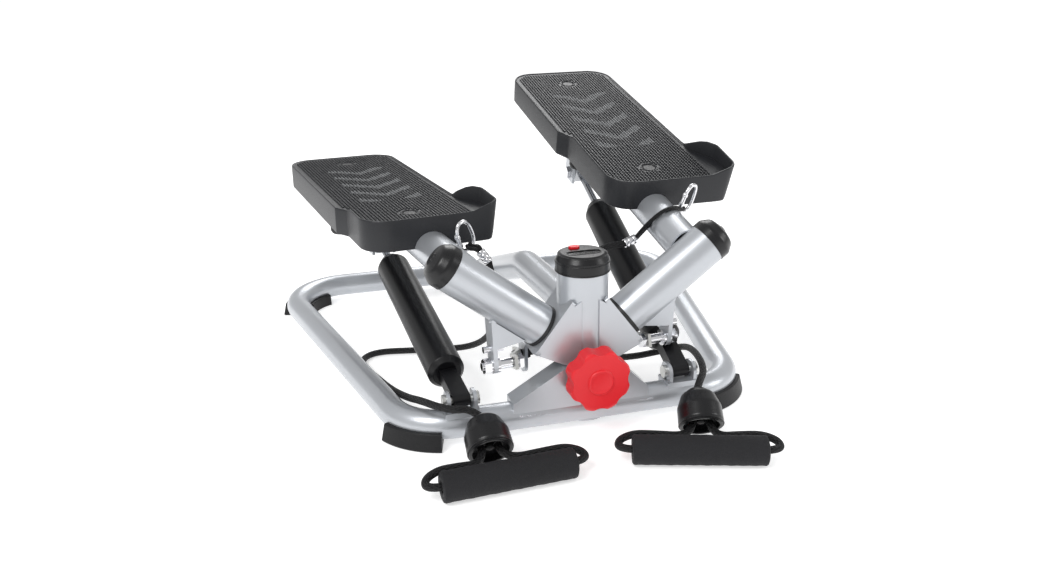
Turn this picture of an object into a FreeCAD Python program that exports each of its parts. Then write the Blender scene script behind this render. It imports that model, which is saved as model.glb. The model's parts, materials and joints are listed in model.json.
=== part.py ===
import FreeCAD, Part
import math
import os

# Twist stepper: a tubular base, a post with a console, and two pedal arms that turn on
# spindles which rise outward from the post. Hydraulic dampers hold the arms up, and a
# rocker behind the post makes one arm rise as the other one sinks. Two elastic cords
# run from the pedals to foam handles. X is to the right, Y to the rear, Z up, and the
# floor is Z = 0. Lengths are in millimetres.

V = FreeCAD.Vector
Rotation = FreeCAD.Rotation
Placement = FreeCAD.Placement

DIMENSIONS = [
    ("base_tube_od", 25.4),
    ("tube_wall", 1.5),
    ("base_centre_z", 17.5),
    ("base_half_depth", 202.0),
    ("base_front_half", 151.0),
    ("base_rear_half", 241.0),
    ("base_offset", 9.4),
    ("front_corner_radius", 53.0),
    ("rear_corner_radius", 60.0),
    ("frame_setback", 52.0),
    ("spine_od", 30.0),
    ("spine_bend_radius", 60.0),
    ("spine_peak_y", -5.0),
    ("spine_peak_z", 89.0),
    ("spine_post_z", 97.0),
    ("post_od", 45.0),
    ("post_wall", 2.0),
    ("post_setback", 16.0),
    ("post_foot_z", 5.0),
    ("post_top_z", 139.0),
    ("spindle_tilt", 37.3),
    ("spindle_root_z", 62.5),
    ("spindle_radius", 8.0),
    ("plate_start", 43.0),
    ("plate_thickness", 4.0),
    ("plate_width", 44.0),
    ("sleeve_start", 50.8),
    ("sleeve_length", 97.0),
    ("sleeve_od", 38.0),
    ("sleeve_wall", 2.0),
    ("swing_half", 8.0),
    ("gusset_thickness", 3.0),
    ("knob_radius", 28.0),
    ("knob_thickness", 17.0),
    ("knob_z", 54.0),
    ("stem_radius", 5.0),
    ("arm_tube_od", 34.0),
    ("pedal_pitch", 6.6),
    ("pedal_yaw", 3.4),
    ("pedal_x", 117.0),
    ("pedal_front_y", -104.0),
    ("pedal_z", 180.6),
    ("pedal_length", 322.0),
    ("pedal_width", 122.0),
    ("pedal_skirt", 25.0),
    ("pedal_shell", 3.5),
    ("lip_rise", 5.0),
    ("ear_rise", 20.0),
    ("left_jog", 74.0),
    ("right_jog", 133.0),
    ("damper_foot_x", 101.5),
    ("damper_offset", 13.4),
    ("damper_foot_z", 38.7),
    ("damper_od", 34.0),
    ("damper_length", 212.0),
    ("damper_start", 38.0),
    ("rod_radius", 4.0),
    ("rod_end_x", 117.5),
    ("rod_end_y", 95.0),
    ("rod_end_z", 130.0),
    ("pin_radius", 4.0),
    ("damper_pin_radius", 3.2),
    ("lever_bolt_radius", 3.5),
    ("lever_along", 66.7),
    ("lever_reach", 50.2),
    ("rocker_half", 45.0),
    ("rocker_z", 50.0),
    ("rocker_setback", 46.0),
    ("cord_diameter", 6.5),
    ("grip_radius", 12.5),
    ("grip_length", 110.0),
    ("grip_bore", 5.0),
]

doc = FreeCAD.newDocument("stepper")
sheet = doc.addObject("Spreadsheet::Sheet", "Dimensions")
for row, (alias, value) in enumerate(DIMENSIONS, start=1):
    sheet.set("A%d" % row, "'" + alias)
    sheet.set("B%d" % row, str(value))
    sheet.setAlias("B%d" % row, alias)
doc.recompute()

NODES = []
SIDES = (("left", -1), ("right", 1))
UP = V(0, 0, 1)


def dim(alias):
    return float(getattr(sheet, alias))


def bind(thing, prop, expression):
    """Ties a property to the sheet; names in braces are aliases."""
    thing.setExpression(prop, expression.replace("{", "Dimensions.").replace("}", ""))


# ---------------------------------------------------------------- placing and grouping

SHIFT = V(dim("base_offset"), dim("frame_setback"), 0)
THETA = math.radians(dim("spindle_tilt"))
POST_Y = -dim("base_half_depth") + dim("post_setback")
BASE_X = -dim("base_offset")


def aim(origin, z_axis=UP, x_axis=V(1, 0, 0)):
    """Placement whose Z points along z_axis and whose X leans towards x_axis."""
    return Placement(V(*origin), Rotation(V(x_axis), V(0, 0, 0), V(z_axis), "ZXY"))


def outward(side):
    """Unit vector along a spindle, away from the post."""
    return V(side * math.cos(THETA), 0, math.sin(THETA))


def on_spindle(side, along):
    """Point on a spindle's axis, measured from the post's centre line."""
    return V(0, POST_Y, dim("spindle_root_z")) + outward(side) * along


def swing(side):
    """Rest pose of an arm: the left arm is down and the right arm is up."""
    inward_axis = outward(side) * -1
    angle = -dim("swing_half")
    return Placement(V(0, 0, 0), Rotation(inward_axis, angle), on_spindle(side, 100))


def finish(thing, label, placement=None, arm=None):
    """Names a sub-part and puts it in its place, on a swung arm if one is given."""
    thing.Label = label
    place = placement if placement else Placement()
    if arm is not None:
        place = swing(arm).multiply(place)
    thing.Placement = Placement(SHIFT, Rotation()).multiply(place)
    NODES.append(thing)
    return thing


def group(label, members, placement=None, arm=None):
    """Several solids of one kind as one sub-part."""
    thing = doc.addObject("Part::Compound", label)
    thing.Links = members
    return finish(thing, label, placement, arm)


def cut(base, *tools):
    for tool in tools:
        result = doc.addObject("Part::Cut", "Cut")
        result.Base = base
        result.Tool = tool
        base = result
    return base


def fuse(*members):
    result = doc.addObject("Part::MultiFuse", "Fuse")
    result.Shapes = list(members)
    return result


def rod(radius, length, placement, name="Rod"):
    """Cylinder; radius and length are numbers or sheet expressions."""
    thing = doc.addObject("Part::Cylinder", name)
    for prop, value in (("Radius", radius), ("Height", length)):
        if isinstance(value, str):
            bind(thing, prop, value)
        else:
            setattr(thing, prop, value)
    thing.Placement = placement
    return thing


def block(size, centre, placement=None, name="Block"):
    """Box of a given size about a centre, in the frame of a placement."""
    thing = doc.addObject("Part::Box", name)
    thing.Length, thing.Width, thing.Height = size
    corner = V(*centre) - V(*size) * 0.5
    place = placement if placement else Placement()
    thing.Placement = place.multiply(Placement(corner, Rotation()))
    return thing


# ---------------------------------------------------------------- sketches and bodies

def rounded(points, radii):
    """Edges of a closed outline whose corners are rounded by their own radii."""
    count = len(points)
    if not isinstance(radii, (list, tuple)):
        radii = [radii] * count
    corners = []
    for i in range(count):
        here = V(*points[i])
        to_last = (V(*points[i - 1]) - here).normalize()
        to_next = (V(*points[(i + 1) % count]) - here).normalize()
        half = to_last.getAngle(to_next) / 2
        if radii[i] <= 0:
            corners.append((here, None, here))
            continue
        run = radii[i] / math.tan(half)
        middle = (to_last + to_next).normalize()
        centre = here + middle * (radii[i] / math.sin(half))
        corners.append((here + to_last * run, centre - middle * radii[i], here + to_next * run))
    edges = []
    for i in range(count):
        start, middle, end = corners[i]
        if middle is not None:
            edges.append(Part.ArcOfCircle(start, middle, end))
        following = corners[(i + 1) % count][0]
        if end.distanceToPoint(following) > 1e-6:
            edges.append(Part.LineSegment(end, following))
    return edges


def flat(points):
    return [(x, y, 0) for x, y in points]


def sketch_on(body, role, edges):
    sketch = body.newObject("Sketcher::SketchObject", "Outline")
    plane = next(p for p in body.Origin.OriginFeatures if p.Role == role)
    sketch.AttachmentSupport = [(plane, "")]
    sketch.MapMode = "FlatFace"
    for edge in edges:
        sketch.addGeometry(edge, False)
    return sketch


def padded(name, edges, thickness, holes=()):
    """Body of one flat outline, with round holes (x, y, radius), thick along its Z."""
    body = doc.addObject("PartDesign::Body", name)
    pad = body.newObject("PartDesign::Pad", "Pad")
    circles = [Part.Circle(V(x, y, 0), UP, radius) for x, y, radius in holes]
    pad.Profile = sketch_on(body, "XY_Plane", list(edges) + circles)
    if isinstance(thickness, str):
        bind(pad, "Length", thickness)
    else:
        pad.Length = thickness
    body.Tip = pad
    return body


def turned(name, profile, angle=360.0, radii=0):
    """Body turned about its Z from a closed outline of (radius, height) points."""
    body = doc.addObject("PartDesign::Body", name)
    turn = body.newObject("PartDesign::Revolution", "Turn")
    sketch = sketch_on(body, "XZ_Plane", rounded(flat(profile), radii))
    turn.Profile = sketch
    turn.ReferenceAxis = (sketch, ["V_Axis"])
    turn.Angle = angle
    body.Tip = turn
    return body


def path_wire(points, radii, closed=False):
    """Straight runs joined by tangent arcs; an open path keeps its end points."""
    if closed:
        edges = rounded(points, radii)
        return Part.Wire(Part.__sortEdges__([e.toShape() for e in edges]))
    corners = [(V(*points[0]), None, V(*points[0]))]
    for i in range(1, len(points) - 1):
        here = V(*points[i])
        to_last = (V(*points[i - 1]) - here).normalize()
        to_next = (V(*points[i + 1]) - here).normalize()
        half = to_last.getAngle(to_next) / 2
        radius = radii[i - 1] if isinstance(radii, (list, tuple)) else radii
        run = radius / math.tan(half)
        middle = (to_last + to_next).normalize()
        bend_centre = here + middle * (radius / math.sin(half))
        corners.append((here + to_last * run, bend_centre - middle * radius, here + to_next * run))
    corners.append((V(*points[-1]), None, V(*points[-1])))
    edges = []
    for (_, _, end), (start, middle, leave) in zip(corners, corners[1:]):
        edges.append(Part.LineSegment(end, start).toShape())
        if middle is not None:
            edges.append(Part.Arc(start, middle, leave).toShape())
    return Part.Wire(edges)


def swept(name, wire, radius):
    """Sweep of a round section, with its radius bound to the sheet, along a wire."""
    spine = doc.addObject("Part::Feature", name + "_path")
    spine.Shape = wire
    first = wire.OrderedEdges[0]
    tangent = first.tangentAt(first.FirstParameter)
    start = first.valueAt(first.FirstParameter)
    section = doc.addObject("Part::Circle", name + "_section")
    bind(section, "Radius", radius)
    section.Placement = Placement(start, Rotation(UP, tangent))
    sweep = doc.addObject("Part::Sweep", name)
    sweep.Sections = [section]
    sweep.Spine = (spine, ["Edge%d" % (i + 1) for i in range(len(spine.Shape.Edges))])
    sweep.Solid = True
    return sweep


def cord_shape(points, section_radius, share=0.45, print_as=None):
    """Solid round cord whose bends are as wide as their two runs allow."""
    radii = []
    for last, here, following in zip(points, points[1:], points[2:]):
        to_last = V(*last) - V(*here)
        to_next = V(*following) - V(*here)
        half = to_last.getAngle(to_next) / 2
        radii.append(share * min(to_last.Length, to_next.Length) * math.tan(half))
    wire = path_wire(points, radii)
    first = wire.Edges[0]
    tangent = first.tangentAt(first.FirstParameter)
    circle = Part.Wire([Part.Circle(V(*points[0]), tangent, section_radius).toShape()])
    shape = wire.makePipeShell([circle], True, False)
    if print_as:
        expected = math.pi * section_radius ** 2 * wire.Length
        print(print_as, "radii", [round(r, 1) for r in radii], "length", round(wire.Length, 1),
              "volume ratio", round(shape.Volume / expected, 4))
    return shape


def shaped(name, shape):
    thing = doc.addObject("Part::Feature", name)
    thing.Shape = shape
    return thing


# ---------------------------------------------------------------- base, spine and post

def front_bar(radius):
    start = (BASE_X - dim("base_front_half"), -dim("base_half_depth"), dim("base_centre_z"))
    return rod(radius, "2 * {base_front_half}", aim(start, V(1, 0, 0), UP), "Front_bar_space")


def post_space(extra=0.0):
    radius = "{post_od} / 2" if extra == 0 else dim("post_od") / 2 + extra
    return rod(radius, "{post_top_z}", aim((0, POST_Y, 0)), "Post_space")


def base_outline():
    front, rear = dim("base_front_half"), dim("base_rear_half")
    depth, height = dim("base_half_depth"), dim("base_centre_z")
    return [(BASE_X + x, y, height)
            for x, y in ((front, -depth), (rear, depth), (-rear, depth), (-front, -depth))]


def make_base():
    """The base loop; its outer surface is handed back for whatever is welded to it."""
    f_r, r_r = dim("front_corner_radius"), dim("rear_corner_radius")
    wire = path_wire(base_outline(), [f_r, r_r, r_r, f_r], closed=True)
    outer = swept("Base_outer", wire, "{base_tube_od} / 2")
    inner = swept("Base_inner", wire, "{base_tube_od} / 2 - {tube_wall}")
    finish(cut(outer, inner), "base_frame")
    return outer


def make_spine():
    """The rising tube to the post; its outer surface is handed back."""
    depth = dim("base_half_depth")
    post_rear = POST_Y + dim("post_od") / 2
    points = [(0, depth, dim("base_centre_z")), (0, dim("spine_peak_y"), dim("spine_peak_z")),
              (0, post_rear - 12, dim("spine_post_z"))]
    wire = path_wire(points, dim("spine_bend_radius"))
    outer = swept("Spine_outer", wire, "{spine_od} / 2")
    inner = swept("Spine_inner", wire, "{spine_od} / 2 - {tube_wall}")
    rear_start = (-60, depth, dim("base_centre_z"))
    rear_bar = rod("{base_tube_od} / 2", 120, aim(rear_start, V(1, 0, 0), UP), "Rear_bar_space")
    past_bar = block((60, 40, 60), (0, depth + 20, dim("base_centre_z")))
    finish(cut(outer, inner, rear_bar, past_bar, post_space()), "spine_tube")
    return outer


def make_post():
    height = "{post_top_z} - {post_foot_z}"
    start = (0, POST_Y, dim("post_foot_z"))
    outer = rod("{post_od} / 2", height, aim(start), "Post_outer")
    inner = rod("{post_od} / 2 - {post_wall}", height, aim(start), "Post_inner")
    stem_start = (0, POST_Y, dim("knob_z"))
    stem_hole = rod("{stem_radius} + 0.6", 40, aim(stem_start, V(0, -1, 0), UP))
    finish(cut(outer, inner, front_bar("{base_tube_od} / 2"), stem_hole), "post_tube")


def spindle_frame(side, along):
    """Frame on a spindle: Z outward along it, X up the slope across it."""
    across = V(-side * math.sin(THETA), 0, math.cos(THETA))
    return aim(on_spindle(side, along), outward(side), across)


PLATE_LOW, PLATE_HIGH = -22.0, 35.0


def make_spindle_plates():
    half = dim("plate_width") / 2
    outline = [(PLATE_LOW, -half), (PLATE_HIGH, -half), (PLATE_HIGH, half), (PLATE_LOW, half)]
    plates = []
    for _, side in SIDES:
        edges = rounded(flat(outline), [6, 2, 2, 6])
        body = padded("Spindle_plate", edges, "{plate_thickness}",
                      [(0, 0, dim("spindle_radius"))])
        body.Placement = spindle_frame(side, dim("plate_start"))
        plates.append(cut(body, post_space()))
    group("spindle_plates", plates)


def slope_point(side, along, across):
    point = on_spindle(side, along) + V(-side * math.sin(THETA), 0, math.cos(THETA)) * across
    return point.x, point.z


def upright(side_y):
    """Frame whose outline plane is the XZ plane at a given Y, thick towards the front."""
    return aim((0, side_y, 0), V(0, -1, 0), V(1, 0, 0))


GUSSET_TOP = 60.0


def make_upper_gussets(spine):
    plates = []
    start = dim("plate_start")
    thick = dim("gusset_thickness")
    for _, side in SIDES:
        high = slope_point(side, start, PLATE_HIGH - 3)
        low = slope_point(side, start, PLATE_LOW + 2)
        outline = [(side * 8, high[1] + 4), high, low, (side * 20, GUSSET_TOP), (side * 8, GUSSET_TOP)]
        half = dim("plate_width") / 2
        for rear_face in (POST_Y + half, POST_Y - half + thick):
            body = padded("Upper_gusset", rounded(flat(outline), 0), "{gusset_thickness}")
            body.Placement = upright(rear_face)
            plates.append(cut(body, post_space(), spine))
    group("upper_gussets", plates)


GUSSET_HALF = 62.0


def make_lower_gussets():
    """Bent channels that run from the post down to the front bar."""
    channels = []
    bar_y = -dim("base_half_depth")
    for _, side in SIDES:
        tip = abs(BASE_X + side * GUSSET_HALF)
        under = GUSSET_TOP - dim("gusset_thickness")
        outer = [(side * 10, GUSSET_TOP), (side * 25, GUSSET_TOP), (side * tip, 33), (side * tip, 24),
                 (side * 10, 20)]
        inner = [(side * 10, under), (side * 24, under), (side * (tip - 3), 31),
                 (side * (tip + 9), 22), (side * 10, 18)]
        skin = padded("Channel_skin", rounded(flat(outer), 0), 22)
        skin.Placement = upright(bar_y + 11)
        hollow = padded("Channel_hollow", rounded(flat(inner), 0), 17)
        hollow.Placement = upright(bar_y + 8.5)
        channels.append(cut(skin, hollow, front_bar("{base_tube_od} / 2"), post_space()))
    group("lower_gussets", channels)


NUT_START = 139.0
THREAD_RADIUS = 6.0


def make_spindles():
    spindles = []
    nuts = []
    for _, side in SIDES:
        start = dim("plate_start") - 3
        shank = rod("{spindle_radius}", NUT_START - start, spindle_frame(side, start))
        thread = rod(THREAD_RADIUS, 10, spindle_frame(side, NUT_START))
        spindles.append(fuse(shank, thread))
        nut = hexagon("Spindle_nut", 9.0, 7.0, THREAD_RADIUS)
        nut.Placement = spindle_frame(side, NUT_START + 1.6)
        washer = turned("Spindle_washer", [(THREAD_RADIUS, 0), (12, 0), (12, 1.5), (THREAD_RADIUS, 1.5)])
        washer.Placement = spindle_frame(side, NUT_START)
        nuts.extend([nut, washer])
    group("spindles", spindles)
    group("spindle_nuts", nuts)


def hexagon(name, half_flats, thickness, bore=0.0):
    corner = half_flats / math.cos(math.pi / 6)
    points = [(corner * math.cos(math.pi * i / 3), corner * math.sin(math.pi * i / 3))
              for i in range(6)]
    holes = [(0, 0, bore)] if bore else []
    return padded(name, rounded(flat(points), 0), thickness, holes)


FOOT_SPREAD = 48.0
FOOT_HEIGHT = 16.0


def make_feet(label, corner_radius, half_width, end):
    """Rubber saddles pressed round the outside of two corners of the base tube."""
    tube = dim("base_tube_od") / 2
    height = dim("base_centre_z")
    reach = math.atan2(2 * dim("base_half_depth"), dim("base_rear_half") - dim("base_front_half"))
    corner_angle = math.pi - reach if end < 0 else reach
    to_centre = corner_radius / math.sin(corner_angle / 2)
    feet = []
    for _, side in SIDES:
        # The bisector points from the corner's bend centre outward.
        along_bar = V(-side, 0, 0)
        along_side = V(-side * end * math.cos(reach), -end * math.sin(reach), 0)
        inward = (along_bar + along_side).normalize()
        centre = V(BASE_X + side * half_width, end * dim("base_half_depth"), 0) + inward * to_centre
        profile = [(corner_radius - 17, 0), (corner_radius + 20, 0), (corner_radius + 16, FOOT_HEIGHT),
                   (corner_radius + 12, FOOT_HEIGHT), (corner_radius, height), (corner_radius - 12, 13),
                   (corner_radius - 16, 13)]
        body = turned("Foot", profile, FOOT_SPREAD, [1, 1.5, 1.5, 0, 0, 0, 1.5])
        turn = Rotation(UP, math.degrees(math.atan2(-inward.y, -inward.x)) - FOOT_SPREAD / 2)
        body.Placement = Placement(centre, turn)
        ring = doc.addObject("Part::Torus", "Tube_space")
        ring.Radius1 = corner_radius
        ring.Radius2 = tube
        ring.Placement = Placement(centre + V(0, 0, height), Rotation())
        feet.append(cut(body, ring))
    group(label, feet)


# ---------------------------------------------------------------- console and knob

CAP_DEPTH = 17.0


def make_console():
    top = dim("post_top_z")
    outer = dim("post_od") / 2
    inner = outer - dim("post_wall") - 0.1
    shell = [(inner - 2, -9), (inner, -9), (inner, 0), (outer + 1.2, 0), (outer + 1.2, 11),
             (outer - 1.5, CAP_DEPTH - 1.2), (outer - 3.5, CAP_DEPTH), (0, CAP_DEPTH),
             (0, CAP_DEPTH - 3), (inner - 2, CAP_DEPTH - 3)]
    cap = turned("Console_cap", shell, 360, [0, 0, 0, 0.5, 2, 1.5, 1, 0, 0, 0])
    cap.Placement = aim((0, POST_Y, top))
    window = [(-15, -9), (15, -9), (15, 1), (-15, 1)]
    opening = padded("Window_space", rounded(flat(window), 4.9), 5)
    opening.Placement = aim((0, POST_Y, top + CAP_DEPTH - 4))
    ledge = [(-14, -8), (14, -8), (14, 0), (-14, 0)]
    button = [(-4.8, -3.2), (4.8, -3.2), (4.8, 3.2), (-4.8, 3.2)]
    around = [(x * 1.07, y * 1.1) for x, y in button]
    well = padded("Button_well", rounded(flat(around), 3.4), 8)
    well.Placement = aim((-4, POST_Y + 11, top + CAP_DEPTH - 5))
    finish(cut(cap, opening, well), "console_cap")
    pane_edges = rounded(flat([(x * 0.995, y) for x, y in window]), 4.8)
    pane = padded("Console_window", pane_edges, 1.5)
    finish(pane, "console_window", aim((0, POST_Y, top + CAP_DEPTH - 2)))
    glass = padded("Console_display", rounded(flat(ledge), 3.6), 1.8)
    finish(glass, "console_display", aim((0, POST_Y, top + CAP_DEPTH - 3.9)))
    board = padded("Console_board", [Part.Circle(V(0, 0, 0), UP, inner - 3)], 1.6)
    finish(board, "console_board", aim((0, POST_Y, top + CAP_DEPTH - 6.2)))
    cell = padded("Console_battery", [Part.Circle(V(0, 0, 0), UP, 5.8)], 5.4)
    finish(cell, "console_battery", aim((0, POST_Y, top + CAP_DEPTH - 12)))
    head = padded("Button_head", rounded(flat(button), 3.1), 5.2)
    finish(head, "console_button", aim((-4, POST_Y + 11, top + CAP_DEPTH - 3.4)))


KNOB_GAP = 10.0
LOBES = 8


def make_knob():
    face = POST_Y - dim("post_od") / 2
    outer = dim("knob_radius")
    valley = outer - 3.6
    edges = []
    points = []
    for i in range(2 * LOBES):
        angle = math.pi * (i + 0.5) / LOBES
        points.append(V((outer - 1.7) * math.cos(angle), (outer - 1.7) * math.sin(angle), 0))
    for i in range(2 * LOBES):
        angle = math.pi * (i + 1) / LOBES
        reach = valley if i % 2 else outer
        middle = V(reach * math.cos(angle), reach * math.sin(angle), 0)
        edges.append(Part.ArcOfCircle(points[i], middle, points[(i + 1) % (2 * LOBES)]))
    lobes = padded("Knob_lobes", edges, "{knob_thickness}", [(0, 0, dim("stem_radius"))])
    thickness = dim("knob_thickness")
    profile = [(0, 0), (outer + 0.4, 0), (outer + 0.4, thickness), (0, thickness)]
    knob = doc.addObject("Part::Common", "Knob")
    knob.Base = lobes
    knob.Tool = turned("Knob_softening", profile, 360, [0, 3, 4, 0])
    height = dim("knob_z")
    finish(knob, "step_knob", aim((0, face - KNOB_GAP, height), V(0, -1, 0), V(1, 0, 0)))
    length = KNOB_GAP + 26 + dim("knob_thickness") - 2
    stem = rod("{stem_radius}", length,
               aim((0, face - KNOB_GAP - dim("knob_thickness") + 2, height), V(0, 1, 0), UP))
    finish(stem, "knob_stem", stem.Placement)
    nut = hexagon("Knob_nut", 9.5, 7.0, dim("stem_radius") + 0.05)
    finish(nut, "knob_nut", aim((0, face - 1.0, height), V(0, -1, 0), UP))


# ---------------------------------------------------------------- rocker and links

def lever_point(side):
    """Centre of the link bolt on an arm, before the arm is swung."""
    across = V(-side * math.sin(THETA), 0, math.cos(THETA))
    return on_spindle(side, dim("lever_along")) - across * dim("lever_reach")


ROCKER_Y = POST_Y + dim("rocker_setback")
EAR_DROP = 18.0
EAR_TOP = 12.0
STRAP_NEAR_X = 48.6
STRAP_FAR_X = 62.5
STRAP_THICKNESS = 3.0
STRAP_NEAR_MID = STRAP_NEAR_X + STRAP_THICKNESS / 2
STRAP_FAR_MID = STRAP_FAR_X + STRAP_THICKNESS / 2
STRAP_HEIGHT = 12.0
STRAP_PLAY = 1.4
NEAR_PIVOT_RADIUS = 4.2
OPEN_PIVOT_RADIUS = 4.6


def rocker_turn():
    """Half of the rocker's travel: its ears move as far as the bolts in the arms' levers."""
    inboard = abs(lever_point(1).x) - STRAP_FAR_MID
    reach = dim("lever_reach") - inboard * math.sin(THETA)
    stroke = reach * math.sin(math.radians(dim("swing_half")))
    return math.degrees(math.asin(stroke / STRAP_NEAR_MID))


def rocker_pose():
    """The right arm is up at rest, so the rocker's right end is back."""
    return Placement(V(0, 0, 0), Rotation(UP, rocker_turn()), V(0, ROCKER_Y, 0))


def make_rocker(spine):
    half, height = dim("rocker_half"), dim("rocker_z")
    bar = padded("Rocker_bar", rounded(flat([(-half, -9), (half, -9), (half, 9), (-half, 9)]), 0), 4,
                 [(0, 0, dim("pin_radius") + 0.05)])
    bar.Placement = aim((0, ROCKER_Y, height + EAR_TOP - 4))
    ears = []
    for _, side in SIDES:
        outline = [(-8, -EAR_DROP), (8, -EAR_DROP), (8, EAR_TOP), (-8, EAR_TOP)]
        ear = padded("Rocker_ear", rounded(flat(outline), [7, 7, 0, 0]), 3, [(0, 0, dim("lever_bolt_radius"))])
        ear.Placement = aim((side * (half - 1.5) - 1.5, ROCKER_Y, height), V(1, 0, 0), V(0, 1, 0))
        ears.append(ear)
    rocker = fuse(bar, *ears)
    finish(rocker, "rocker", rocker_pose())
    bolts = []
    for _, side in SIDES:
        shank = rod("{lever_bolt_radius}", 25,
                    aim((side * (half - 16), ROCKER_Y, height), V(side, 0, 0), UP))
        head = hexagon("Ear_head", 5.5, 3.5)
        head.Placement = aim((side * (half - 3.1), ROCKER_Y, height), V(-side, 0, 0), UP)
        bolts.append(fuse(shank, head))
    group("rocker_end_bolts", bolts, placement=rocker_pose())
    spine_under = dim("spine_post_z") - dim("spine_od") / 2
    head_low = height + EAR_TOP - 8.2
    pivot = rod("{pin_radius}", spine_under - head_low + 1, aim((0, ROCKER_Y, head_low)))
    head = hexagon("Pivot_head", 6.5, 4.0)
    head.Placement = aim((0, ROCKER_Y, head_low))
    collar_low = height + EAR_TOP + 0.2
    collar = rod(9, spine_under - collar_low + 3, aim((0, ROCKER_Y, collar_low)))
    finish(cut(fuse(pivot, head, collar), spine), "rocker_pivot_bolt")


def make_straps():
    for name, side in SIDES:
        lever = lever_point(side)
        swung = swing(side).multVec(V(side * STRAP_FAR_MID, lever.y, lever.z))
        ear = rocker_pose().multVec(V(side * STRAP_NEAR_MID, ROCKER_Y, dim("rocker_z")))
        near = V(side * STRAP_NEAR_X, ear.y, dim("rocker_z"))
        far = V(side * STRAP_FAR_X, swung.y, swung.z)
        strap = strap_shape(side, near, far)
        finish(shaped("Strap", strap), name + "_link_strap")


def strap_shape(side, near, far):
    """Flat strap standing on edge, jogged outward between its two bolt holes."""
    length = math.hypot(near.y - far.y, near.z - far.z)
    run = V(0, far.y - near.y, far.z - near.z).normalize()
    step = (far.x - near.x) * side
    inner = [(-8, 0), (12, 0), (length - 10, step), (length + 8, step)]
    outer = [(a, b + STRAP_THICKNESS) for a, b in inner]
    ring = [V(a, b, -STRAP_HEIGHT / 2) for a, b in inner + outer[::-1] + inner[:1]]
    solid = Part.Face(Part.makePolygon(ring)).extrude(V(0, 0, STRAP_HEIGHT))
    solid.Placement = Placement(near, Rotation(run, V(side, 0, 0), V(0, 0, 0), "XYZ"))
    for centre, radius in ((near, NEAR_PIVOT_RADIUS), (far, OPEN_PIVOT_RADIUS)):
        drill = Part.makeCylinder(radius, 30, V(centre.x - 15, centre.y, centre.z), V(1, 0, 0))
        solid = solid.cut(drill)
    return solid


# ---------------------------------------------------------------- arms and pedals

def pedal_frame(side):
    """Pedal frame before the swing: origin at the tread's front, Y to the rear."""
    origin = V(side * dim("pedal_x"), dim("pedal_front_y"), dim("pedal_z"))
    turn = Rotation(UP, -side * dim("pedal_yaw")).multiply(Rotation(V(1, 0, 0), dim("pedal_pitch")))
    return Placement(origin, turn)


def in_pedal(side, origin, z_axis=UP, x_axis=V(1, 0, 0)):
    return pedal_frame(side).multiply(aim(origin, z_axis, x_axis))


ARM_OFFSET = 9.0
ARM_DROP = 27.0
ARM_START, ARM_END = -76.0, 300.0
SADDLES = (38.0, 282.0)


def arm_space(side, extra=0.0):
    start = (-side * ARM_OFFSET, ARM_START, -ARM_DROP)
    return rod("{arm_tube_od} / 2 + %g" % extra, ARM_END - ARM_START,
               in_pedal(side, start, V(0, 1, 0), UP), "Arm_space")


def make_sleeve(name, side):
    start = spindle_frame(side, dim("sleeve_start"))
    outer = rod("{sleeve_od} / 2", "{sleeve_length}", start)
    inner = rod("{sleeve_od} / 2 - {sleeve_wall}", "{sleeve_length}", start)
    boss_start = spindle_frame(side, 61).multVec(V(-dim("sleeve_od") / 2 + 3, -side * 9, 0))
    down = V(side * math.sin(THETA), 0, -math.cos(THETA))
    boss = rod(5.0, 10, aim(boss_start, down, V(0, 1, 0)))
    finish(cut(fuse(outer, boss), inner), name + "_sleeve", arm=side)
    fit = dim("sleeve_od") / 2 - dim("sleeve_wall")
    bore = dim("spindle_radius") + 0.05
    rim = dim("sleeve_od") / 2 + 0.4
    inner_bush = turned("Inner_bush", [(bore, -3.3), (rim, -3.3), (rim, 0), (fit, 0), (fit, 12),
                                       (bore, 12)])
    inner_bush.Placement = start
    outer_bush = turned("Outer_bush", [(bore, 75), (fit, 75), (fit, 87), (bore, 87)])
    outer_bush.Placement = start
    group(name + "_bushes", [inner_bush, outer_bush], arm=side)
    profile = [(19.4, 0.1), (19.4, 8), (14.5, 15.5), (6, 18), (0, 18), (0, 15), (11.5, 12),
               (15.2, 7), (15.2, -6), (fit, -6), (fit, 0.1)]
    cap = turned("End_cap", profile, 360, [0, 6, 6, 1, 0, 0, 1, 1, 0, 0, 0])
    finish(cap, name + "_end_cap", spindle_frame(side, dim("sleeve_start") + dim("sleeve_length")),
           arm=side)


def make_arm_tube(name, side):
    start = (-side * ARM_OFFSET, ARM_START, -ARM_DROP)
    hollow = rod("{arm_tube_od} / 2 - {tube_wall}", ARM_END - ARM_START,
                 in_pedal(side, start, V(0, 1, 0), UP))
    sleeve_space = rod("{sleeve_od} / 2", 300, spindle_frame(side, 0))
    front = block((90, 40, 90), (side * 100, POST_Y - 10, 140))
    tube = cut(arm_space(side), hollow, sleeve_space, front)
    finish(tube, name + "_arm_tube", arm=side)


def rod_end_point(side):
    return V(side * dim("rod_end_x"), dim("rod_end_y"), dim("rod_end_z"))


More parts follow.
